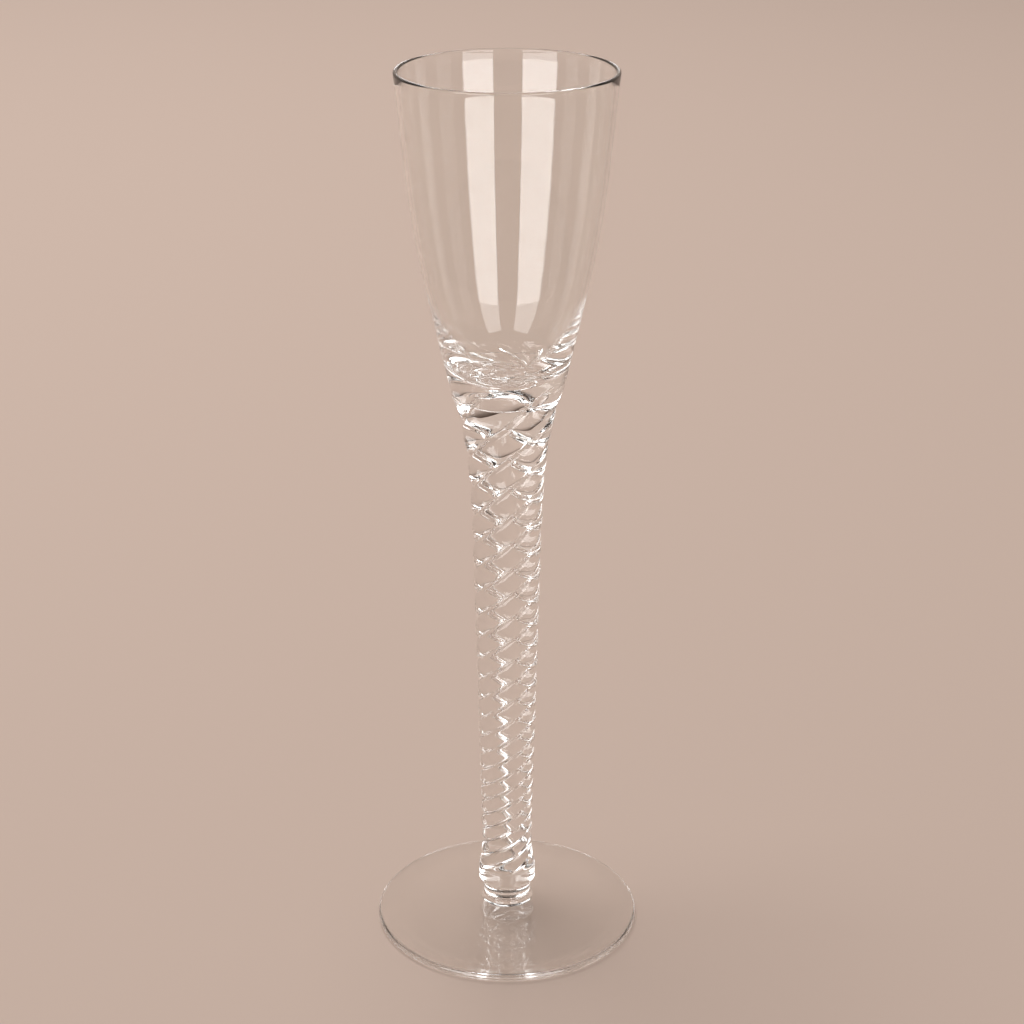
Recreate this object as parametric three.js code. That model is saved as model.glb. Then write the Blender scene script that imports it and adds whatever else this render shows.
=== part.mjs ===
// A stemmed schnapps glass of clear glass: foot, collar, twisted stem and bowl, fused one on the other.
// Millimetres, +Z up. It stands on z = 0, with its axis on the Z axis and its front towards -Y.
import * as THREE from "three";

// Heights of the four pieces. Each piece stands on the one before it.
const FOOT_HEIGHT = 8.6;
const COLLAR_HEIGHT = 3.4;
const STEM_LENGTH = 105;
const BOWL_HEIGHT = 63;

// Foot: a thin disc with a round edge that rises a little to a neck in the middle, and a hollow underneath.
const FOOT_DIAMETER = 54.6;
const FOOT_EDGE = 1.8;
const BEND_DIAMETER = 12;
const BEND_LOW = 4.4;
const BEND_HIGH = 5.8;
const NECK_DIAMETER = 9.8;
const REST_RING_WIDTH = 4;
const HOLLOW_HEIGHT = 1;

// Collar: widest just above its lower edge, where it overhangs the neck of the foot a little.
const COLLAR_DIAMETER = 11.8;
const COLLAR_EDGE_HEIGHT = 0.7;
const COLLAR_FULLNESS = 0.9;

// Stem: a straight taper that widens over the collar and flares under the bowl.
const STEM_LOW_DIAMETER = 10;
const LOW_FLARE_WIDTH = 1.7;
const LOW_FLARE_LENGTH = 8;
const LOW_FLARE_POWER = 2;
const STEM_NECK_DIAMETER = 15.3;
const STEM_TOP_DIAMETER = 21.6;
const FLARE_LENGTH = 36;
const FLARE_POWER = 3.7;

// Strands: they turn to the right as they climb, fast near the foot and slowly under the bowl.
const STRANDS = 5;
const TURNS = 4.324;
const LOW_TURN_RATE = 1.3686;
const SLACK_TURN_RATE = 0.447;
const SLACK_LENGTH = 4.5;
const TIGHT_TURNS = 0.2;
const TIGHT_LENGTH = 36;
const START_ANGLE = -4.9;

// Grooves between the strands: they deepen towards the bowl and run out over its base.
const GROOVE_LOW_DEPTH = 0.75;
const GROOVE_TOP_DEPTH = 2.1;
const GROOVE_GROWTH = 3;
const GROOVE_SOFTNESS = 0.06;
const GROOVE_NARROWNESS = 5;
const STRAND_ROUNDNESS = 0.3;
const STRAND_RUN_IN = 2.5;
const STRAND_FADE_ABOVE = 1.5;
const STRAND_RUN_OUT = 2.5;

// Bowl: two straight flanks that meet in a soft shoulder, a thin wall and a round inside bottom.
const RIM_DIAMETER = 42.1;
const SHOULDER_DIAMETER = 36.4;
const SHOULDER_BELOW_RIM = 30;
const SHOULDER_SOFTNESS = 12;
const WALL = 0.9;
const FLOOR = 3.2;
const ROUND_SIDE = 13;
const ROUND_FLOOR_WIDTH = 16;

// Facets round each piece and steps along its outline.
const FACETS_PER_STRAND = 8;
const STEM_STEPS = 80;
const RUN_OUT_STEPS = 7;
const CURVE_STEPS = 6;
const ROUND_STEPS = 12;
const SAME_POINT = 1e-6;

const FACETS = STRANDS * FACETS_PER_STRAND;
const STRAND_END = STRAND_FADE_ABOVE + STRAND_RUN_OUT;

/** A point of an outline: its distance from the axis and its height. */
function at(radius, height) {
  return new THREE.Vector2(radius, height);
}

/** The point that lies a distance away from one point, towards another. */
function towards(from, to, distance) {
  return to.clone().sub(from).setLength(distance).add(from);
}

/** Points of a curve with one control point. */
function bend(from, control, to) {
  return new THREE.QuadraticBezierCurve(from, control, to).getPoints(CURVE_STEPS);
}

/** Points of a half circle from one angle, counterclockwise. */
function halfCircle(centre, radius, startAngle) {
  const curve = new THREE.EllipseCurve(centre.x, centre.y, radius, radius, startAngle, startAngle + Math.PI);
  return curve.getPoints(CURVE_STEPS);
}

/** Joins stretches of points into one outline, without the points that two stretches share. */
function outline(...stretches) {
  const points = stretches.flat();
  return points.filter((p, i) => i === 0 || p.distanceTo(points[i - 1]) > SAME_POINT);
}

/** Turns an outline round the axis. The outline starts and ends on the axis. */
function lathe(points) {
  return new THREE.LatheGeometry(points, FACETS).rotateX(Math.PI / 2);
}

/** Eases from 0 to 1 as x goes from 0 to 1. */
function ease(x) {
  return THREE.MathUtils.smoothstep(x, 0, 1);
}

/**
 * Angle that the strands have reached, measured from the front. Above the foot they take extra turns,
 * and under the bowl they turn at one slow rate.
 */
function strandAngle(height) {
  const share = height / STEM_LENGTH;
  const along = Math.min(share, 1 - SLACK_LENGTH / STEM_LENGTH);
  const turned = LOW_TURN_RATE * along + (1 - LOW_TURN_RATE) * along ** 2;
  const slack = SLACK_TURN_RATE * (share - along);
  const tight = TIGHT_TURNS * (1 - Math.max(1 - height / TIGHT_LENGTH, 0) ** 2);
  return 2 * Math.PI * (TURNS * (turned + slack) + tight) + THREE.MathUtils.degToRad(START_ANGLE);
}

/** Depth of the grooves above the stem's lower end: they run in there, and out over the bowl's base. */
function grooveDepth(height) {
  const share = Math.min(height / STEM_LENGTH, 1);
  const depth = THREE.MathUtils.lerp(GROOVE_LOW_DEPTH, GROOVE_TOP_DEPTH, share ** GROOVE_GROWTH);
  const runIn = ease(height / STRAND_RUN_IN);
  const runOut = ease((height - STEM_LENGTH - STRAND_FADE_ABOVE) / STRAND_RUN_OUT);
  return depth * runIn * (1 - runOut);
}

/** Share of the groove depth that a facet is pressed in: round strands that meet in narrow grooves. */
function pressed(facet) {
  const across = Math.abs(Math.sin((Math.PI * facet) / FACETS_PER_STRAND));
  const drop = 1 - Math.min(Math.hypot(across, GROOVE_SOFTNESS), 1);
  return THREE.MathUtils.lerp(drop ** GROOVE_NARROWNESS, drop, STRAND_ROUNDNESS);
}

/**
 * Turns the rows of a lathed piece with the strands and presses the grooves between them.
 * Rows after the last strand row keep the angle at which the strands have run out.
 */
function addStrands(geometry, rows, lastStrandRow, baseHeight) {
  const position = geometry.getAttribute("position");
  const end = STEM_LENGTH + STRAND_END;
  for (let i = 0; i < position.count; i += 1) {
    const facet = Math.floor(i / rows);
    const height = i % rows > lastStrandRow ? end : position.getZ(i) + baseHeight;
    const outer = Math.hypot(position.getX(i), position.getY(i));
    const radius = outer > SAME_POINT ? outer - grooveDepth(height) * pressed(facet) : 0;
    const angle = strandAngle(height) + (2 * Math.PI * facet) / FACETS;
    position.setXY(i, radius * Math.sin(angle), -radius * Math.cos(angle));
  }
  geometry.computeVertexNormals();
  return geometry;
}

/** Foot: from the hollow out over the rest ring, round the edge and in over the disc to the neck. */
function footGeometry() {
  const edge = FOOT_EDGE / 2;
  const rest = FOOT_DIAMETER / 2 - edge;
  const hollow = rest - REST_RING_WIDTH;
  const neck = NECK_DIAMETER / 2;
  const disc = at(BEND_DIAMETER / 2, BEND_LOW);
  return lathe(
    outline(
      bend(at(0, HOLLOW_HEIGHT), at(hollow / 2, HOLLOW_HEIGHT), at(hollow, 0)),
      halfCircle(at(rest, edge), edge, -Math.PI / 2),
      bend(disc, at(neck, BEND_LOW), at(neck, BEND_HIGH)),
      [at(neck, FOOT_HEIGHT), at(0, FOOT_HEIGHT)],
    ),
  );
}

/** Collar: out from the neck of the foot, round its edge, then in to the lower end of the stem. */
function collarGeometry() {
  const low = at(NECK_DIAMETER / 2, 0);
  const edge = at(COLLAR_DIAMETER / 2, COLLAR_EDGE_HEIGHT);
  const top = at(stemRadius(0), COLLAR_HEIGHT);
  const full = THREE.MathUtils.lerp(COLLAR_EDGE_HEIGHT, COLLAR_HEIGHT, COLLAR_FULLNESS);
  return lathe(
    outline(
      [at(0, 0)],
      bend(low, at(edge.x, 0), edge),
      bend(edge, at(edge.x, full), top),
      [at(0, COLLAR_HEIGHT)],
    ),
  );
}

/** Radius over the crowns of the strands, above the stem's lower end. */
function stemRadius(height) {
  const taper = THREE.MathUtils.lerp(STEM_LOW_DIAMETER, STEM_NECK_DIAMETER, height / STEM_LENGTH);
  const low = Math.max(LOW_FLARE_LENGTH - height, 0) / LOW_FLARE_LENGTH;
  const high = Math.max(height - STEM_LENGTH + FLARE_LENGTH, 0) / FLARE_LENGTH;
  const lowFlare = LOW_FLARE_WIDTH * low ** LOW_FLARE_POWER;
  const highFlare = (STEM_TOP_DIAMETER - STEM_NECK_DIAMETER) * high ** FLARE_POWER;
  return (taper + lowFlare + highFlare) / 2;
}

/** Stem: a tapered rod whose facets turn with the strands, so that their edges follow the grooves. */
function stemGeometry() {
  const points = [at(0, 0)];
  for (let i = 0; i <= STEM_STEPS; i += 1) {
    const height = (STEM_LENGTH * i) / STEM_STEPS;
    points.push(at(stemRadius(height), height));
  }
  points.push(at(0, STEM_LENGTH));
  return addStrands(lathe(points), points.length, points.length, 0);
}

/** Bowl: up the outside over the strands and the shoulder, round the lip, and down the inside. */
function bowlGeometry() {
  const base = at(STEM_TOP_DIAMETER / 2, 0);
  const shoulder = at(SHOULDER_DIAMETER / 2, BOWL_HEIGHT - SHOULDER_BELOW_RIM);
  const rim = at(RIM_DIAMETER / 2, BOWL_HEIGHT - WALL / 2);
  const low = towards(shoulder, base, SHOULDER_SOFTNESS);
  const high = towards(shoulder, rim, SHOULDER_SOFTNESS);
  const slope = (shoulder.x - base.x) / shoulder.y;
  const flank = (height) => at(base.x + slope * height, height);
  const inwards = (p) => at(p.x - WALL, p.y);

  const strands = [];
  for (let i = 0; i <= RUN_OUT_STEPS; i += 1) {
    strands.push(flank((STRAND_END * i) / RUN_OUT_STEPS));
  }
  const inside = inwards(low);
  const side = towards(inside, inwards(base), ROUND_SIDE);
  const floor = at(ROUND_FLOOR_WIDTH / 2, FLOOR);
  const round = new THREE.CubicBezierCurve(inside, side, floor, at(0, FLOOR));

  const points = outline(
    [at(0, 0)],
    strands,
    bend(low, shoulder, high),
    halfCircle(at(rim.x - WALL / 2, rim.y), WALL / 2, 0),
    bend(inwards(high), inwards(shoulder), inside),
    round.getPoints(ROUND_STEPS),
  );
  return addStrands(lathe(points), points.length, strands.length, STEM_LENGTH);
}

/** A named mesh of clear glass with its own material, standing at a height above the table. */
function glass(name, geometry, height) {
  const material = new THREE.MeshStandardMaterial({
    color: 0xeef3f2,
    roughness: 0.03,
    metalness: 0,
    transparent: true,
    opacity: 0.35,
  });
  const mesh = new THREE.Mesh(geometry, material);
  mesh.name = name;
  mesh.position.z = height;
  return mesh;
}

const group = new THREE.Group();
group.name = "schnapps_glass";
group.add(glass("foot", footGeometry(), 0));
group.add(glass("collar", collarGeometry(), FOOT_HEIGHT));
group.add(glass("stem", stemGeometry(), FOOT_HEIGHT + COLLAR_HEIGHT));
group.add(glass("bowl", bowlGeometry(), FOOT_HEIGHT + COLLAR_HEIGHT + STEM_LENGTH));

export default group;
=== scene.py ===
"""Schnapps glass of clear glass with a twisted stem, dressed and lit for its renders.

Sizes in the fields are millimetres and angles degrees. Blender's own values are metres and radians. The glass
stands on z = 0 with its axis on the Z axis and its front towards -Y.
"""

from __future__ import annotations

import logging
import math
from dataclasses import dataclass
from enum import Enum

import bpy
import numpy as np
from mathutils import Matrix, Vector

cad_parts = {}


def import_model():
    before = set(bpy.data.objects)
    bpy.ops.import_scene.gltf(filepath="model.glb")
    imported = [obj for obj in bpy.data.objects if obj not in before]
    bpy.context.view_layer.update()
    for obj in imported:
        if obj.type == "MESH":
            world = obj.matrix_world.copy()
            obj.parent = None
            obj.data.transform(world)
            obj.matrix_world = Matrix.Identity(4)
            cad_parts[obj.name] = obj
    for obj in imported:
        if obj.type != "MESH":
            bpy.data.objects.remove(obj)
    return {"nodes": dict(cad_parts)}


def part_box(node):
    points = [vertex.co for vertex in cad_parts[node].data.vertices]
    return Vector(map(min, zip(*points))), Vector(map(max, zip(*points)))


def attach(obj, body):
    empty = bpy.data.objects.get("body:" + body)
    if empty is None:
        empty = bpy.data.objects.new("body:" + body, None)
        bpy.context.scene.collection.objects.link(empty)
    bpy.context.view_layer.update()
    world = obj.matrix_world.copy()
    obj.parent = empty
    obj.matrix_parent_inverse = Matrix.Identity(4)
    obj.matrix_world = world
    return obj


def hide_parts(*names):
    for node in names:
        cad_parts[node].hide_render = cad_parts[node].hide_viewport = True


LOG = logging.getLogger("schnapps_glass")

MM = 0.001
BODY = "root"

# Names of the mesh attributes that the strand tree reads.
RELIEF = "relief"
FUSED = "fused"

# Kinds of nodes that the trees use most.
MATH = "ShaderNodeMath"
MAP = "ShaderNodeMapRange"

# Parts a count of 0 from a count of 1 or more, of the surfaces that light has met on its way.
NONE_OR_SOME = 0.5

Point = tuple[float, float]


def linear(colour: str) -> tuple[float, float, float, float]:
    """Turns an sRGB hex colour to linear light.

    Args:
        colour: six hex digits after a hash sign.

    Returns:
        Red, green, blue and an alpha of 1.
    """
    parts = [int(colour[i : i + 2], 16) / 255 for i in (1, 3, 5)]
    red, green, blue = (p / 12.92 if p <= 0.04045 else ((p + 0.055) / 1.055) ** 2.4 for p in parts)
    return red, green, blue, 1.0


def add_node(tree: bpy.types.NodeTree, kind: str, inputs: dict | None = None, **settings) -> bpy.types.Node:
    """Adds a node to a tree, with its settings, and fills its inputs.

    Args:
        tree: tree that gets the node.
        kind: Blender's name for the type of node.
        inputs: a node whose first output is linked, an output socket or a plain value, for each input by its
            name or place.
        settings: properties of the node itself.

    Returns:
        The new node.
    """
    node = tree.nodes.new(kind)
    for name, value in settings.items():
        setattr(node, name, value)
    for key, value in (inputs or {}).items():
        if isinstance(value, bpy.types.Node):
            value = value.outputs[0]
        if isinstance(value, bpy.types.NodeSocket):
            tree.links.new(value, node.inputs[key])
        else:
            node.inputs[key].default_value = value
    return node


def bend(start: Point, control: Point, end: Point, steps: int) -> np.ndarray:
    """Points of a curve that leaves start towards control and comes from control to end.

    Args:
        start: first point.
        control: point that both ends head for.
        end: last point.
        steps: number of steps along the curve.

    Returns:
        One row for each point.
    """
    t = np.linspace(0, 1, steps + 1)[:, None]
    return (1 - t) ** 2 * np.array(start) + 2 * t * (1 - t) * np.array(control) + t**2 * np.array(end)


def sweep(start: Point, leave: Point, arrive: Point, end: Point, steps: int) -> np.ndarray:
    """Points of a curve with its own control point at each end.

    Args:
        start: first point.
        leave: point that the curve heads for at its start.
        arrive: point that the curve comes from at its end.
        end: last point.
        steps: number of steps along the curve.

    Returns:
        One row for each point.
    """
    t = np.linspace(0, 1, steps + 1)[:, None]
    ends = (1 - t) ** 3 * np.array(start) + t**3 * np.array(end)
    return ends + 3 * t * (1 - t) ** 2 * np.array(leave) + 3 * t**2 * (1 - t) * np.array(arrive)


def arc(centre: Point, radius: float, start: float, end: float, steps: int) -> np.ndarray:
    """Points of a round arc.

    Args:
        centre: middle of the arc.
        radius: its radius.
        start: angle of the first point from the outward direction, in degrees.
        end: angle of the last point.
        steps: number of steps along the arc.

    Returns:
        One row for each point.
    """
    angle = np.radians(np.linspace(start, end, steps + 1))
    return np.array(centre) + radius * np.column_stack([np.cos(angle), np.sin(angle)])


def run(start: Point, end: Point, steps: int) -> np.ndarray:
    """Points of a straight run from start to end, in equal steps, one row each."""
    return np.linspace(start, end, steps + 1)


def towards(start: np.ndarray, end: np.ndarray, distance: float) -> np.ndarray:
    """The point that lies a distance away from start, in the direction of end."""
    return start + (end - start) * distance / np.linalg.norm(end - start)


class Skin(Enum):
    """What the surface along a stretch of an outline is."""

    POLISHED = "polished"
    STRANDED = "stranded"
    FUSED = "fused"


@dataclass(frozen=True)
class Stretch:
    """A run of an outline with one kind of surface.

    Attributes:
        skin: what the surface is.
        points: distance from the axis and height of each point.
    """

    skin: Skin
    points: np.ndarray


@dataclass(frozen=True)
class Lathe:
    """Turns outlines round the axis into closed meshes.

    Attributes:
        strands: number of strands.
        facets_per_strand: number of facets on each strand.
        turn: angle from the front at which the first facet starts.
        crowding: how much closer the facets lie in the grooves, from 0 to 1.
    """

    strands: int
    facets_per_strand: int = 44
    turn: float = 0.0
    crowding: float = 0.6

    @property
    def facets(self) -> int:
        """Number of facets round a piece."""
        return self.strands * self.facets_per_strand

    def angles(self) -> np.ndarray:
        """Angle from the front of each facet's first corner, in radians."""
        even = np.arange(self.facets) * math.tau / self.facets
        return math.radians(self.turn) + even - self.crowding * np.sin(self.strands * even) / self.strands

    def make(self, name: str, outline: list[Stretch], base: float) -> bpy.types.Object:
        """Builds a piece from its outline.

        Args:
            name: name of the piece.
            outline: stretches from the lower point on the axis to the upper one.
            base: height above the table of the outline's zero.

        Returns:
            The object, with its place in its mesh.
        """
        rows, relief, fused = self._rows(outline)
        angle = self.angles()
        radius = rows[1:-1, 0, None]
        height = np.broadcast_to(rows[1:-1, 1, None], (len(rows) - 2, self.facets))
        around = np.stack([radius * np.sin(angle), -radius * np.cos(angle), height], axis=2).reshape(-1, 3)
        ends = [[0, 0, rows[0, 1]], [0, 0, rows[-1, 1]]]
        places = (np.vstack([around, ends]) + [0, 0, base]) * MM

        mesh = bpy.data.meshes.new(name)
        mesh.from_pydata(places.tolist(), [], self._faces(len(rows) - 2))
        per_point = np.concatenate([np.repeat(relief[1:-1], self.facets), [0, 0]])
        mesh.attributes.new(RELIEF, "FLOAT", "POINT").data.foreach_set("value", per_point)
        per_face = np.repeat(fused, self.facets)
        mesh.attributes.new(FUSED, "BOOLEAN", "FACE").data.foreach_set("value", per_face)
        mesh.polygons.foreach_set("use_smooth", ~per_face)
        mesh.update()
        piece = bpy.data.objects.new(name, mesh)
        bpy.context.scene.collection.objects.link(piece)
        return piece

    def _rows(self, outline: list[Stretch]) -> tuple[np.ndarray, np.ndarray, np.ndarray]:
        """Joins the stretches of an outline, each of which starts where the last one ends.

        Args:
            outline: stretches from the lower point on the axis to the upper one.

        Returns:
            The points, a 1 for each point that strands show on, and a flag for each band that is fused.
        """
        points, relief, fused = [outline[0].points[:1]], [0.0], []
        for stretch in outline:
            points.append(stretch.points[1:])
            steps = len(stretch.points) - 1
            if stretch.skin is Skin.STRANDED:
                relief[-1] = 1.0
            relief += [float(stretch.skin is Skin.STRANDED)] * steps
            fused += [stretch.skin is Skin.FUSED] * steps
        return np.vstack(points), np.array(relief), np.array(fused)

    def _faces(self, rings: int) -> list[list[int]]:
        """Lists the corners of all faces: a fan, the bands between the rings, and the upper fan.

        Args:
            rings: number of rings between the two points on the axis.

        Returns:
            Corner numbers of each face, band by band, facing out.
        """
        here = np.arange(self.facets)
        there = (here + 1) % self.facets
        low, high = rings * self.facets, rings * self.facets + 1
        faces = np.column_stack([np.full(self.facets, low), there, here]).tolist()
        for ring in range(rings - 1):
            below, above = ring * self.facets, (ring + 1) * self.facets
            faces += np.column_stack([below + here, below + there, above + there, above + here]).tolist()
        last = (rings - 1) * self.facets
        faces += np.column_stack([last + here, last + there, np.full(self.facets, high)]).tolist()
        return faces


@dataclass(frozen=True)
class FirePolishedGlass:
    """Clear soda-lime glass, worked hot and fire-polished.

    It is colourless and mirror-smooth, so the eye gets it from what it bends and mirrors. Hot working leaves
    slow ripples that are far too shallow to feel, and they make the highlights waver a little.

    Attributes:
        tint: colour that the glass gives to light that passes.
        ior: how strongly it bends light.
        roughness: haze of the surface.
        ripple: distance from one ripple to the next.
        ripple_height: height of the ripples.
        shadow: share of the light of lamps that the glass holds back where it lies flat in their way.
        edge_shadow: the same share where a lamp grazes the glass.
    """

    tint: str = "#FDFDFC"
    ior: float = 1.52
    roughness: float = 0.0
    ripple: float = 9.0
    ripple_height: float = 0.003
    shadow: float = 0.0
    edge_shadow: float = 0.4

    def material(self) -> bpy.types.Material:
        """Builds the material of the glass."""
        material = bpy.data.materials.new("fire_polished_glass")
        material.use_nodes = True
        tree = material.node_tree
        tree.nodes.clear()
        place = add_node(tree, "ShaderNodeTexCoord")
        ripples = add_node(
            tree,
            "ShaderNodeTexNoise",
            {"Vector": place.outputs["Object"], "Scale": 1 / (self.ripple * MM), "Detail": 1.0},
        )
        surface = add_node(
            tree,
            "ShaderNodeBump",
            {"Height": ripples, "Strength": 1.0, "Distance": self.ripple_height * MM},
        )
        glass = add_node(
            tree,
            "ShaderNodeBsdfPrincipled",
            {
                "Base Color": linear(self.tint),
                "Roughness": self.roughness,
                "IOR": self.ior,
                "Transmission Weight": 1.0,
                "Normal": surface.outputs["Normal"],
            },
        )
        path = add_node(tree, "ShaderNodeLightPath")
        slant = add_node(tree, "ShaderNodeLayerWeight", {"Blend": 0.5})
        clear_share = add_node(
            tree,
            MAP,
            {0: slant.outputs["Facing"], 3: 1 - self.shadow, 4: 1 - self.edge_shadow},
            interpolation_type="SMOOTHSTEP",
        )
        lets_through = add_node(
            tree, MATH, {0: path.outputs["Is Shadow Ray"], 1: clear_share}, operation="MULTIPLY"
        )
        clear = add_node(tree, "ShaderNodeBsdfTransparent")
        mix = add_node(tree, "ShaderNodeMixShader", {0: lets_through, 1: glass, 2: clear})
        add_node(tree, "ShaderNodeOutputMaterial", {"Surface": mix})
        return material


@dataclass(frozen=True)
class FusedJoint:
    """The place where two gathers of hot glass ran together: there is no surface left for the eye to see."""

    def material(self) -> bpy.types.Material:
        """Builds a material that lets all light pass unbent."""
        material = bpy.data.materials.new("fused_joint")
        material.use_nodes = True
        tree = material.node_tree
        tree.nodes.clear()
        clear = add_node(tree, "ShaderNodeBsdfTransparent", {"Color": (1, 1, 1, 1)})
        add_node(tree, "ShaderNodeOutputMaterial", {"Surface": clear})
        return material


@dataclass(frozen=True)
class Finishes:
    """The materials that every piece of the glass wears.

    Attributes:
        polished: material of the surfaces that are open to the air.
        fused: material of the joints between the pieces.
    """

    polished: bpy.types.Material
    fused: bpy.types.Material


@dataclass(frozen=True)
class Strands:
    """The twisted strands of the stem, which run out over the base of the bowl.

    Attributes:
        count: number of strands.
        turns: turns that they make along the stem.
        low_turn_rate: how fast they turn at the lower end, as a multiple of the mean.
        slack_turn_rate: how fast they turn under the bowl, as the same multiple.
        slack_length: length of the stem's upper end on which they turn at that rate.
        tight_turns: extra turns that they take at the stem's lower end.
        tight_length: length over which they take these turns, fastest at the bottom.
        start_angle: angle from the front of the first groove at the lower end.
        groove_low_depth: depth of the grooves at the stem's lower end.
        groove_top_depth: depth of the grooves at its upper end.
        groove_growth: how late they deepen on the way up.
        groove_softness: how round the bottom of a groove is.
        groove_narrowness: how narrow the grooves are beside the strands.
        roundness: share of the depth that the round strands give, the rest being narrow grooves.
        run_in: length over which the grooves start.
        fade_above: how far above the stem's upper end they start to end.
        run_out: length over which they end.
    """

    count: int = 5
    turns: float = 4.324
    low_turn_rate: float = 1.3686
    slack_turn_rate: float = 0.447
    slack_length: float = 4.5
    tight_turns: float = 0.2
    tight_length: float = 36.0
    start_angle: float = -4.9
    groove_low_depth: float = 0.75
    groove_top_depth: float = 2.1
    groove_growth: float = 3.0
    groove_softness: float = 0.06
    groove_narrowness: float = 5.0
    roundness: float = 0.3
    run_in: float = 2.5
    fade_above: float = 1.5
    run_out: float = 2.5

    def sizes(self, length: float, base: float) -> dict[str, float]:
        """Values of the tree's inputs, in metres and radians.

        Args:
            length: length of the stem.
            base: height of its lower end above the table.

        Returns:
            Each value by the name of its input.
        """
        return {
            "Strands": float(self.count),
            "Turns": self.turns,
            "Low Turn Rate": self.low_turn_rate,
            "Slack Turn Rate": self.slack_turn_rate,
            "Twist End": 1 - self.slack_length / length,
            "Tight Turns": self.tight_turns,
            "Tight Length": self.tight_length * MM,
            "Start Angle": math.radians(self.start_angle),
            "Stem Length": length * MM,
            "Stem Base": base * MM,
            "Groove Low Depth": self.groove_low_depth * MM,
            "Groove Top Depth": self.groove_top_depth * MM,
            "Groove Growth": self.groove_growth,
            "Groove Softness": self.groove_softness,
            "Groove Narrowness": self.groove_narrowness,
            "Roundness": self.roundness,
            "Run In": self.run_in * MM,
            "Fade Start": (length + self.fade_above) * MM,
            "Fade End": (length + self.fade_above + self.run_out) * MM,
        }

    def tree(self, names: list[str]) -> bpy.types.GeometryNodeTree:
        """Builds the Geometry Nodes tree that twists a lathed piece and presses its grooves.

        Args:
            names: names of the number inputs.

        Returns:
            The tree.
        """
        tree = bpy.data.node_groups.new("twisted_strands", "GeometryNodeTree")
        tree.interface.new_socket("Geometry", in_out="INPUT", socket_type="NodeSocketGeometry")
        for name in names:
            tree.interface.new_socket(name, in_out="INPUT", socket_type="NodeSocketFloat")
        for name in ("Polished", "Fused"):
            tree.interface.new_socket(name, in_out="INPUT", socket_type="NodeSocketMaterial")
        tree.interface.new_socket("Geometry", in_out="OUTPUT", socket_type="NodeSocketGeometry")
        given = add_node(tree, "NodeGroupInput").outputs

        # Where each point of the untwisted piece lies. Rows without strands count as lying where these end.
        position = add_node(tree, "GeometryNodeInputPosition")
        x, y, z = add_node(tree, "ShaderNodeSeparateXYZ", {0: position}).outputs
        shows = add_node(tree, "GeometryNodeInputNamedAttribute", {"Name": RELIEF}, data_type="FLOAT")
        front = add_node(tree, MATH, {0: y, 1: -1.0}, operation="MULTIPLY")
        angle = add_node(tree, MATH, {0: x, 1: front}, operation="ARCTAN2")
        flat = add_node(tree, "ShaderNodeCombineXYZ", {0: x, 1: y})
        radius = add_node(tree, "ShaderNodeVectorMath", {0: flat}, operation="LENGTH").outputs["Value"]
        above = add_node(tree, MATH, {0: z, 1: given["Stem Base"]}, operation="SUBTRACT")
        height = add_node(tree, "ShaderNodeMix", {0: shows, 2: given["Fade End"], 3: above})
        share = add_node(tree, MATH, {0: height, 1: given["Stem Length"]}, operation="DIVIDE")

        # How far the strands have turned there: slower and slower, and at one slack rate under the bowl.
        along = add_node(tree, MATH, {0: share, 1: given["Twist End"]}, operation="MINIMUM")
        low_rate = given["Low Turn Rate"]
        rate = add_node(tree, "ShaderNodeMix", {0: along, 2: low_rate, 3: 1.0}, clamp_factor=False)
        twisted = add_node(tree, MATH, {0: along, 1: rate}, operation="MULTIPLY")
        beyond = add_node(tree, MATH, {0: share, 1: along}, operation="SUBTRACT")
        slack = given["Slack Turn Rate"]
        turned = add_node(tree, MATH, {0: beyond, 1: slack, 2: twisted}, operation="MULTIPLY_ADD")

        # The extra turns above the foot, fastest at the bottom.
        left = add_node(tree, MAP, {0: height, 2: given["Tight Length"], 3: 1.0, 4: 0.0})
        squared = add_node(tree, MATH, {0: left, 1: left}, operation="MULTIPLY")
        tight = add_node(tree, MAP, {0: squared, 3: given["Tight Turns"], 4: 0.0})
        turns = add_node(tree, MATH, {0: turned, 1: given["Turns"], 2: tight}, operation="MULTIPLY_ADD")
        start = given["Start Angle"]
        turn = add_node(tree, MATH, {0: turns, 1: math.tau, 2: start}, operation="MULTIPLY_ADD")

        # How deep the grooves are there.
        whole_stem = add_node(tree, MATH, {0: share, 1: 1.0}, operation="MINIMUM")
        grown = add_node(tree, MATH, {0: whole_stem, 1: given["Groove Growth"]}, operation="POWER")
        full = add_node(tree, MAP, {0: grown, 3: given["Groove Low Depth"], 4: given["Groove Top Depth"]})
        starts = add_node(tree, MAP, {0: height, 2: given["Run In"]}, interpolation_type="SMOOTHSTEP")
        stops = add_node(
            tree,
            MAP,
            {0: height, 1: given["Fade Start"], 2: given["Fade End"], 3: 1.0, 4: 0.0},
            interpolation_type="SMOOTHSTEP",
        )
        ends = add_node(tree, MATH, {0: starts, 1: stops}, operation="MULTIPLY")
        shown = add_node(tree, MATH, {0: full, 1: shows}, operation="MULTIPLY")
        depth = add_node(tree, MATH, {0: shown, 1: ends}, operation="MULTIPLY")

        # Round strands that meet in narrow grooves.
        half = add_node(tree, MATH, {0: given["Strands"], 1: 0.5}, operation="MULTIPLY")
        phase = add_node(tree, MATH, {0: angle, 1: half}, operation="MULTIPLY")
        across = add_node(tree, MATH, {0: phase}, operation="SINE")
        softened = add_node(tree, "ShaderNodeCombineXYZ", {0: across, 1: given["Groove Softness"]})
        crown = add_node(tree, "ShaderNodeVectorMath", {0: softened}, operation="LENGTH").outputs["Value"]
        drop = add_node(tree, MAP, {0: crown, 3: 1.0, 4: 0.0})
        narrow = add_node(tree, MATH, {0: drop, 1: given["Groove Narrowness"]}, operation="POWER")
        pressed = add_node(tree, "ShaderNodeMix", {0: given["Roundness"], 2: narrow, 3: drop})

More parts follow.
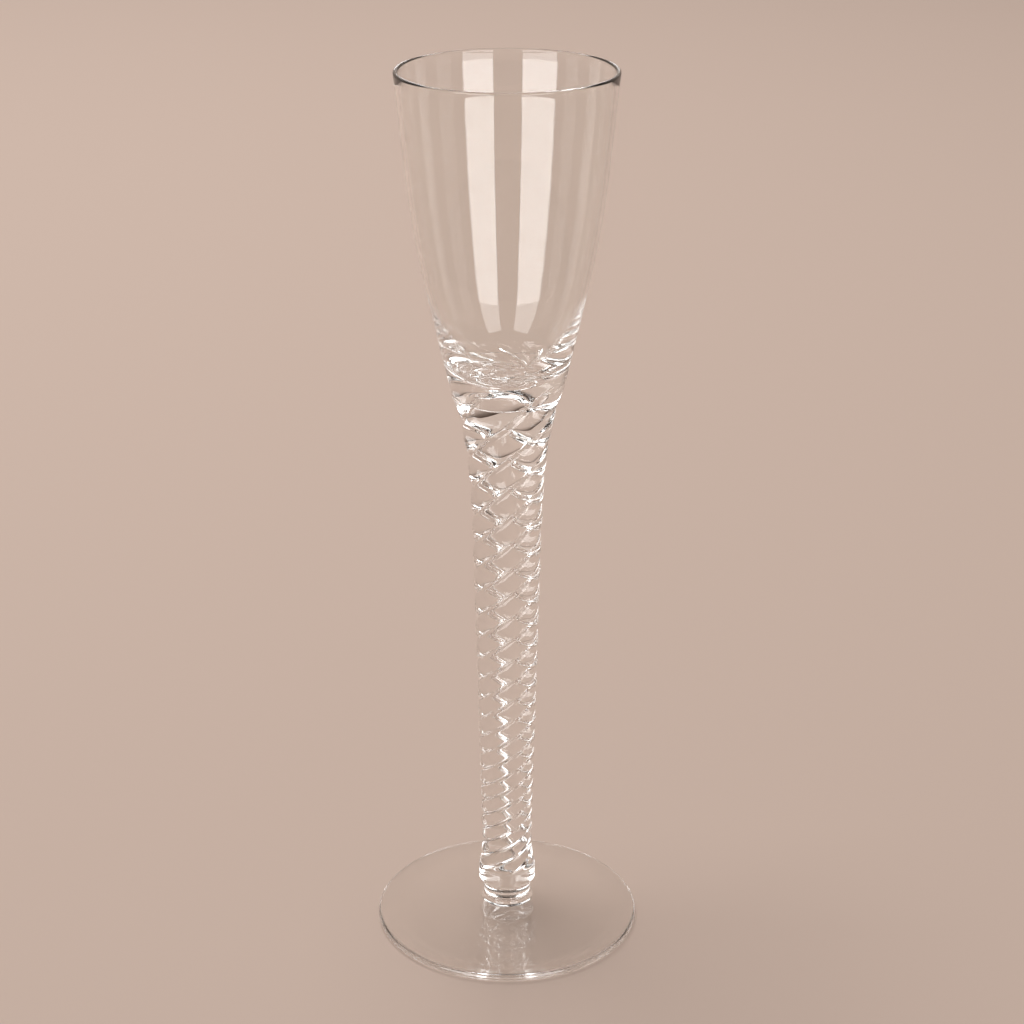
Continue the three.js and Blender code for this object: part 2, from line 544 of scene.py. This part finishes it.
        # Presses each point in towards the axis and turns it.
        cut = add_node(tree, MATH, {0: depth, 1: pressed}, operation="MULTIPLY")
        cut_share = add_node(tree, MATH, {0: cut, 1: radius}, operation="DIVIDE")
        kept = add_node(tree, MATH, {0: 1.0, 1: cut_share}, operation="SUBTRACT")
        inwards = add_node(tree, "ShaderNodeCombineXYZ", {0: kept, 1: kept, 2: 1.0})
        pushed = add_node(tree, "ShaderNodeVectorMath", {0: position, 1: inwards}, operation="MULTIPLY")
        place = add_node(
            tree, "ShaderNodeVectorRotate", {"Vector": pushed, "Angle": turn}, rotation_type="Z_AXIS"
        )
        moved = add_node(
            tree, "GeometryNodeSetPosition", {"Geometry": given["Geometry"], "Position": place}
        )

        whole = add_node(tree, "GeometryNodeRealizeInstances", {0: moved})
        dressed = add_node(
            tree, "GeometryNodeSetMaterial", {"Geometry": whole, "Material": given["Polished"]}
        )
        joints = add_node(tree, "GeometryNodeInputNamedAttribute", {"Name": FUSED}, data_type="BOOLEAN")
        dressed = add_node(
            tree,
            "GeometryNodeSetMaterial",
            {"Geometry": dressed, "Selection": joints, "Material": given["Fused"]},
        )
        add_node(tree, "NodeGroupOutput", {0: dressed})
        return tree

    def twist(self, piece: bpy.types.Object, length: float, base: float, finishes: Finishes) -> None:
        """Twists a lathed piece, presses the grooves into it and leaves it a plain, dressed mesh.

        Args:
            piece: the lathed piece.
            length: length of the stem.
            base: height of the stem's lower end above the table.
            finishes: materials that the piece wears.
        """
        sizes = self.sizes(length, base)
        tree = bpy.data.node_groups.get("twisted_strands") or self.tree(list(sizes))
        modifier = piece.modifiers.new("twisted_strands", "NODES")
        modifier.node_group = tree
        values = {**sizes, "Polished": finishes.polished, "Fused": finishes.fused}
        for item in tree.interface.items_tree:
            if item.in_out == "INPUT" and item.name in values:
                modifier[item.identifier] = values[item.name]
        graph = bpy.context.evaluated_depsgraph_get()
        plain = piece.data
        piece.data = bpy.data.meshes.new_from_object(piece.evaluated_get(graph))
        piece.data.name = piece.name
        piece.modifiers.remove(modifier)
        bpy.data.meshes.remove(plain)


@dataclass
class GlassPiece:
    """A piece of the glass, which stands for the solid of the same node.

    Attributes:
        node: name of the solid.
        low: height of its lower end above the table.
        height: its height.
    """

    node: str
    low: float
    height: float

    @staticmethod
    def span(node: str) -> dict[str, float | str]:
        """Name, lower end and height of a solid, as the fields of its piece."""
        low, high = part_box(node)
        return {"node": node, "low": low.z / MM, "height": (high.z - low.z) / MM}

    def outline(self) -> list[Stretch]:
        """Half of the piece's section, from the lower point on the axis to the upper one."""
        raise NotImplementedError

    def dress(self, piece: bpy.types.Object, finishes: Finishes) -> None:
        """Gives each face of a plain lathed piece its material.

        Args:
            piece: the piece.
            finishes: materials that it wears.
        """
        for material in (finishes.polished, finishes.fused):
            piece.data.materials.append(material)
        fused = np.zeros(len(piece.data.polygons), bool)
        piece.data.attributes[FUSED].data.foreach_get("value", fused)
        piece.data.polygons.foreach_set("material_index", fused.astype(np.int32))

    def build(self, lathe: Lathe, finishes: Finishes) -> bpy.types.Object:
        """Builds the piece, dresses it and puts it in the place of its solid.

        Args:
            lathe: what turns the outline.
            finishes: materials that the piece wears.

        Returns:
            The piece.
        """
        piece = lathe.make(f"{self.node}_glass", self.outline(), self.low)
        self.dress(piece, finishes)
        for name in (RELIEF, FUSED):
            piece.data.attributes.remove(piece.data.attributes[name])
        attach(piece, BODY)
        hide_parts(self.node)
        return piece


@dataclass
class Foot(GlassPiece):
    """Thin disc with a round edge that rises a little to a neck, with a shallow hollow underneath.

    Attributes:
        diameter: width over the edge.
        edge: thickness of the edge.
        bend_diameter: width at which the disc starts to bend up to the neck.
        bend_low: height of the disc there.
        bend_high: height at which the neck is upright.
        neck_diameter: width of the neck that carries the collar.
        rest_ring_width: width of the flat ring that the glass stands on.
        hollow_height: height of the hollow inside that ring.
    """

    diameter: float
    edge: float = 1.8
    bend_diameter: float = 12.0
    bend_low: float = 4.4
    bend_high: float = 5.8
    neck_diameter: float = 9.8
    rest_ring_width: float = 4.0
    hollow_height: float = 1.0

    def outline(self) -> list[Stretch]:
        """From the hollow over the rest ring, round the edge and over the disc to the collar's joint."""
        edge = self.edge / 2
        rest = self.diameter / 2 - edge
        ring = rest - self.rest_ring_width
        roof = self.hollow_height
        disc = (self.bend_diameter / 2, self.bend_low)
        neck = (self.neck_diameter / 2, self.bend_high)
        top = (self.neck_diameter / 2, self.height)
        return [
            Stretch(Skin.POLISHED, bend((0, roof), (ring / 2, roof), (ring, 0), steps=24)),
            Stretch(Skin.POLISHED, run((ring, 0), (rest, 0), steps=4)),
            Stretch(Skin.POLISHED, arc((rest, edge), edge, -90, 90, steps=20)),
            Stretch(Skin.POLISHED, run((rest, self.edge), disc, steps=16)),
            Stretch(Skin.POLISHED, bend(disc, (neck[0], disc[1]), neck, steps=24)),
            Stretch(Skin.POLISHED, run(neck, top, steps=8)),
            Stretch(Skin.FUSED, run(top, (0, self.height), steps=1)),
        ]


@dataclass
class Collar(GlassPiece):
    """Small smooth ring that joins the stem to the foot, widest near its lower edge.

    Attributes:
        diameter: width over the edge.
        neck_diameter: width where it meets the foot.
        top_diameter: width where it meets the stem.
        edge_height: height of its widest place.
        fullness: how far up it stays wide, as a share of the height above that place.
    """

    diameter: float
    neck_diameter: float
    top_diameter: float
    edge_height: float = 0.7
    fullness: float = 0.9

    def outline(self) -> list[Stretch]:
        """Out from the joint with the foot, round the edge, then in to the joint with the stem."""
        low = (self.neck_diameter / 2, 0.0)
        edge = (self.diameter / 2, self.edge_height)
        top = (self.top_diameter / 2, self.height)
        full = self.edge_height + self.fullness * (self.height - self.edge_height)
        return [
            Stretch(Skin.FUSED, run((0, 0), low, steps=1)),
            Stretch(Skin.POLISHED, bend(low, (edge[0], 0), edge, steps=16)),
            Stretch(Skin.POLISHED, bend(edge, (edge[0], full), top, steps=32)),
            Stretch(Skin.FUSED, run(top, (0, self.height), steps=1)),
        ]


@dataclass
class Stem(GlassPiece):
    """Solid tapered rod of twisted strands, which flares under the bowl.

    Attributes:
        strands: the strands.
        low_diameter: width that the straight taper would reach at the lower end.
        low_flare: how much wider the lower end is.
        low_flare_length: length over which it widens.
        low_flare_power: how late it widens on the way down.
        neck_diameter: width that the straight taper would reach at the upper end.
        top_diameter: width at the upper end, with the flare.
        flare_length: length of the flare.
        flare_power: how late the flare opens.
        rings: number of steps along the stem.
    """

    strands: Strands
    low_diameter: float = 10.0
    low_flare: float = 1.7
    low_flare_length: float = 8.0
    low_flare_power: float = 2.0
    neck_diameter: float = 15.3
    top_diameter: float = 21.6
    flare_length: float = 36.0
    flare_power: float = 3.7
    rings: int = 400

    def outline(self) -> list[Stretch]:
        """From the joint with the collar up the taper and the flare to the joint with the bowl."""
        height = np.linspace(0, self.height, self.rings + 1)
        taper = self.low_diameter + (self.neck_diameter - self.low_diameter) * height / self.height
        flare = np.clip((height - self.height + self.flare_length) / self.flare_length, 0, 1)
        low_flare = np.clip(1 - height / self.low_flare_length, 0, 1)
        width = taper + (self.top_diameter - self.neck_diameter) * flare**self.flare_power
        width += self.low_flare * low_flare**self.low_flare_power
        side = np.column_stack([width / 2, height])
        return [
            Stretch(Skin.FUSED, run((0, 0), side[0], steps=1)),
            Stretch(Skin.STRANDED, side),
            Stretch(Skin.FUSED, run(side[-1], (0, self.height), steps=1)),
        ]

    def dress(self, piece: bpy.types.Object, finishes: Finishes) -> None:
        """Twists the rod into strands, which also dresses it."""
        self.strands.twist(piece, self.height, self.low, finishes)


@dataclass
class Bowl(GlassPiece):
    """Thin-walled funnel on a solid base, with a round lip and a round inside bottom.

    Attributes:
        stem: the stem, whose strands run out over the bowl's base.
        rim_diameter: width over the rim.
        shoulder_diameter: width where the two flanks would meet.
        shoulder_below_rim: how far the shoulder lies below the rim.
        shoulder_softness: how far from the shoulder its bend starts.
        wall: thickness of the wall.
        floor: thickness of the base under the inside bottom.
        round_side: how upright the side of the round inside is.
        round_floor_width: how flat its middle is.
    """

    stem: Stem
    rim_diameter: float
    shoulder_diameter: float = 36.4
    shoulder_below_rim: float = 30.0
    shoulder_softness: float = 12.0
    wall: float = 0.9
    floor: float = 3.2
    round_side: float = 13.0
    round_floor_width: float = 16.0

    def outline(self) -> list[Stretch]:
        """From the joint with the stem up the outside, round the lip and down the inside."""
        base = np.array([self.stem.top_diameter / 2, 0.0])
        shoulder = np.array([self.shoulder_diameter / 2, self.height - self.shoulder_below_rim])
        rim = np.array([self.rim_diameter / 2, self.height - self.wall / 2])
        low = towards(shoulder, base, self.shoulder_softness)
        high = towards(shoulder, rim, self.shoulder_softness)
        slope = (shoulder[0] - base[0]) / shoulder[1]
        inwards = np.array([-self.wall, 0.0])

        def flank(height: float) -> np.ndarray:
            """The point of the lower flank at a height."""
            return np.array([base[0] + slope * height, height])

        strands_end = flank(self.stem.strands.fade_above + self.stem.strands.run_out)
        inside = low + inwards
        side = towards(inside, base + inwards, self.round_side)
        bottom_edge, bottom = (self.round_floor_width / 2, self.floor), (0.0, self.floor)
        return [
            Stretch(Skin.FUSED, run((0, 0), base, steps=1)),
            Stretch(Skin.STRANDED, run(base, strands_end, steps=40)),
            Stretch(Skin.POLISHED, run(strands_end, low, steps=10)),
            Stretch(Skin.POLISHED, bend(low, shoulder, high, steps=24)),
            Stretch(Skin.POLISHED, run(high, rim, steps=8)),
            Stretch(Skin.POLISHED, arc(rim + inwards / 2, self.wall / 2, 0, 180, steps=14)),
            Stretch(Skin.POLISHED, run(rim + inwards, high + inwards, steps=8)),
            Stretch(Skin.POLISHED, bend(high + inwards, shoulder + inwards, inside, steps=24)),
            Stretch(Skin.POLISHED, sweep(inside, side, bottom_edge, bottom, steps=64)),
        ]

    def dress(self, piece: bpy.types.Object, finishes: Finishes) -> None:
        """Runs the strands out over the base, which also dresses the bowl."""
        self.stem.strands.twist(piece, self.stem.height, self.stem.low, finishes)


@dataclass(frozen=True)
class Softbox:
    """A tall studio lamp that faces the glass and shows only as its mirror image in the glass.

    Attributes:
        name: name of the lamp.
        azimuth: directions of its left and right edges, in degrees from the front towards the right.
        heights: heights of its lower and upper edge, in metres.
        distance: how far it stands from the glass, in metres.
        radiance: brightness of its face, where 1 is white.
    """

    name: str
    azimuth: tuple[float, float]
    heights: tuple[float, float] = (0.004, 2.1)
    distance: float = 2.0
    radiance: float = 5.0

    def build(self) -> None:
        """Stands the lamp in its place, unseen by the camera itself."""
        left, right = (math.radians(a) for a in self.azimuth)
        low, high = self.heights
        middle = (left + right) / 2
        lamp = bpy.data.lights.new(self.name, "AREA")
        lamp.shape = "RECTANGLE"
        lamp.size = 2 * self.distance * math.tan((right - left) / 2)
        lamp.size_y = high - low
        lamp.energy = self.radiance * math.pi * lamp.size * lamp.size_y
        self._only_mirrored(lamp)
        stand = bpy.data.objects.new(self.name, lamp)
        x, y = self.distance * math.sin(middle), -self.distance * math.cos(middle)
        stand.location = (x, y, (low + high) / 2)
        stand.rotation_euler = (math.pi / 2, 0, middle)
        stand.visible_camera = False
        stand.visible_diffuse = False
        bpy.context.scene.collection.objects.link(stand)

    def _only_mirrored(self, lamp: bpy.types.Light) -> None:
        """Keeps the lamp's light off the floor and out of the straight view through the glass.

        Args:
            lamp: the lamp.
        """
        lamp.use_nodes = True
        tree = lamp.node_tree
        tree.nodes.clear()
        path = add_node(tree, "ShaderNodeLightPath")
        mirrors, floors = path.outputs["Glossy Depth"], path.outputs["Diffuse Depth"]
        mirrored = add_node(tree, MATH, {0: mirrors, 1: NONE_OR_SOME}, operation="GREATER_THAN")
        off_floor = add_node(tree, MATH, {0: floors, 1: NONE_OR_SOME}, operation="LESS_THAN")
        shows = add_node(tree, MATH, {0: mirrored, 1: off_floor}, operation="MULTIPLY")
        light = add_node(tree, "ShaderNodeEmission", {"Strength": shows})
        add_node(tree, "ShaderNodeOutputLight", {"Surface": light})


@dataclass(frozen=True)
class Studio:
    """Pale floor, soft lamps, a dim room and the camera.

    Attributes:
        floor_colour: colour of the floor.
        floor_radius: radius of the floor, in metres.
        floor_sides: number of sides of its edge.
        floor_gap: gap between the floor and the foot.
        back_colour: colour of the room behind the glass.
        room_colour: colour of the room in front.
        ceiling_colour: colour of the room overhead.
        back_edge: sine of the angle from the side at which the pale back starts, and where it is full.
        ceiling_edge: sine of the elevation at which the ceiling starts, and where it is full.
        lamp_place: where the lamp over the floor hangs, in metres.
        lamp_size: its width, in metres.
        lamp_radiance: its brightness.
        camera_place: where the camera stands.
        camera_dip: how far it looks down.
        focal_pixels: focal length in pixels of the square picture.
        picture: width of that picture in pixels.
        axis_pixel: column of the picture that the glass's axis lies on.
        sensor: width of the camera's sensor.
        nearest: distance from the camera at which things start to show.
        bounces: how often light may pass or leave a surface of the glass.
    """

    floor_colour: str = "#CDB8AB"
    floor_radius: float = 14.0
    floor_sides: int = 96
    floor_gap: float = 0.05
    back_colour: str = "#CDB8AB"
    room_colour: str = "#2A2523"
    ceiling_colour: str = "#3C3532"
    back_edge: tuple[float, float] = (0.2, 0.7)
    ceiling_edge: tuple[float, float] = (0.4, 0.8)
    lamp_place: tuple[float, float, float] = (-0.5, 0.6, 2.4)
    lamp_size: float = 1.55
    lamp_radiance: float = 8.0
    camera_place: tuple[float, float, float] = (0.0, -417.2, 263.6)
    camera_dip: float = 22.35
    focal_pixels: float = 2273.0
    picture: float = 1024.0
    axis_pixel: float = 507.0
    sensor: float = 36.0
    nearest: float = 10.0
    bounces: int = 80

    def build(self, softboxes: list[Softbox]) -> None:
        """Sets up the whole studio.

        Args:
            softboxes: the lamps that stand round the glass.
        """
        self._settings()
        self._floor()
        self._room()
        self._lamp()
        for softbox in softboxes:
            softbox.build()
        self._camera()

    def _settings(self) -> None:
        """Sets plain colours and enough bounces for thick glass."""
        scene = bpy.context.scene
        scene.view_settings.view_transform = "Standard"
        scene.cycles.max_bounces = self.bounces
        scene.cycles.transmission_bounces = self.bounces
        scene.cycles.glossy_bounces = self.bounces
        scene.cycles.transparent_max_bounces = self.bounces

    def _floor(self) -> None:
        """Lays the floor, a hair below the foot."""
        angle = np.linspace(0, math.tau, self.floor_sides, endpoint=False)
        circle = self.floor_radius * np.column_stack([np.cos(angle), np.sin(angle)])
        mesh = bpy.data.meshes.new("floor")
        mesh.from_pydata([(x, y, -self.floor_gap * MM) for x, y in circle], [], [list(range(len(circle)))])
        material = bpy.data.materials.new("pale_floor")
        material.use_nodes = True
        tree = material.node_tree
        tree.nodes.clear()
        paint = add_node(tree, "ShaderNodeBsdfDiffuse", {"Color": linear(self.floor_colour)})
        add_node(tree, "ShaderNodeOutputMaterial", {"Surface": paint})
        mesh.materials.append(material)
        floor = bpy.data.objects.new("floor", mesh)
        bpy.context.scene.collection.objects.link(floor)

    def _room(self) -> None:
        """Makes the room round the floor, pale behind the glass and where the camera sees it, else dim."""
        world = bpy.data.worlds.new("studio_room")
        world.use_nodes = True
        tree = world.node_tree
        tree.nodes.clear()
        direction = add_node(tree, "ShaderNodeTexCoord").outputs["Generated"]
        axes = add_node(tree, "ShaderNodeSeparateXYZ", {0: direction})
        first, last = self.back_edge
        behind = add_node(
            tree, MAP, {0: axes.outputs["Y"], 1: first, 2: last}, interpolation_type="SMOOTHSTEP"
        )
        walls = {6: linear(self.room_colour), 7: linear(self.back_colour)}
        wall = add_node(tree, "ShaderNodeMix", {0: behind, **walls}, data_type="RGBA").outputs[2]
        first, last = self.ceiling_edge
        overhead = add_node(
            tree, MAP, {0: axes.outputs["Z"], 1: first, 2: last}, interpolation_type="SMOOTHSTEP"
        )
        ceiling = {6: wall, 7: linear(self.ceiling_colour)}
        room = add_node(tree, "ShaderNodeMix", {0: overhead, **ceiling}, data_type="RGBA").outputs[2]
        seen = add_node(tree, "ShaderNodeLightPath").outputs["Is Camera Ray"]
        backdrop = {6: room, 7: linear(self.back_colour)}
        colour = add_node(tree, "ShaderNodeMix", {0: seen, **backdrop}, data_type="RGBA")
        light = add_node(tree, "ShaderNodeBackground", {"Color": colour.outputs[2], "Strength": 1.0})
        add_node(tree, "ShaderNodeOutputWorld", {"Surface": light})
        bpy.context.scene.world = world

    def _lamp(self) -> None:
        """Hangs a wide lamp over the floor, facing straight down, with no mirror image in the glass."""
        lamp = bpy.data.lights.new("overhead_lamp", "AREA")
        lamp.shape = "SQUARE"
        lamp.size = self.lamp_size
        lamp.energy = self.lamp_radiance * math.pi * lamp.size**2
        hung = bpy.data.objects.new("overhead_lamp", lamp)
        hung.location = self.lamp_place
        hung.visible_camera = False
        hung.visible_glossy = False
        hung.visible_transmission = False
        bpy.context.scene.collection.objects.link(hung)

    def _camera(self) -> None:
        """Stands the camera where the photograph was taken from."""
        lens = bpy.data.cameras.new("camera")
        lens.sensor_width = self.sensor
        lens.lens = self.focal_pixels / self.picture * self.sensor
        lens.shift_x = (self.picture / 2 - self.axis_pixel) / self.picture
        lens.clip_start = self.nearest * MM
        camera = bpy.data.objects.new("camera", lens)
        camera.location = Vector(self.camera_place) * MM
        camera.rotation_euler = (math.pi / 2 - math.radians(self.camera_dip), 0, 0)
        bpy.context.scene.collection.objects.link(camera)
        bpy.context.scene.camera = camera


def width(node: str) -> float:
    """Width of a solid along Y, in millimetres."""
    low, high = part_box(node)
    return (high.y - low.y) / MM


def main() -> None:
    """Builds the studio and the glass."""
    logging.basicConfig(level=logging.INFO, format="%(name)s: %(message)s")
    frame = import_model()
    LOG.info("%d solids in the frame", len(frame["nodes"]))
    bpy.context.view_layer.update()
    Studio().build(
        [
            Softbox("left_softbox", azimuth=(-56.0, -17.0)),
            Softbox("right_softbox", azimuth=(15.0, 49.0)),
        ]
    )
    finishes = Finishes(FirePolishedGlass().material(), FusedJoint().material())
    strands = Strands()
    foot = Foot(**GlassPiece.span("foot"), diameter=width("foot"))
    stem = Stem(**GlassPiece.span("stem"), strands=strands)
    collar = Collar(
        **GlassPiece.span("collar"),
        diameter=width("collar"),
        neck_diameter=foot.neck_diameter,
        top_diameter=stem.low_diameter + stem.low_flare,
    )
    bowl = Bowl(**GlassPiece.span("bowl"), stem=stem, rim_diameter=width("bowl"))
    straight, turned = Lathe(strands.count), Lathe(strands.count, turn=strands.start_angle)
    for part, lathe in ((foot, turned), (collar, turned), (stem, straight), (bowl, straight)):
        piece = part.build(lathe, finishes)
        LOG.info("%s: %d faces", piece.name, len(piece.data.polygons))


if __name__ == "__main__":
    main()
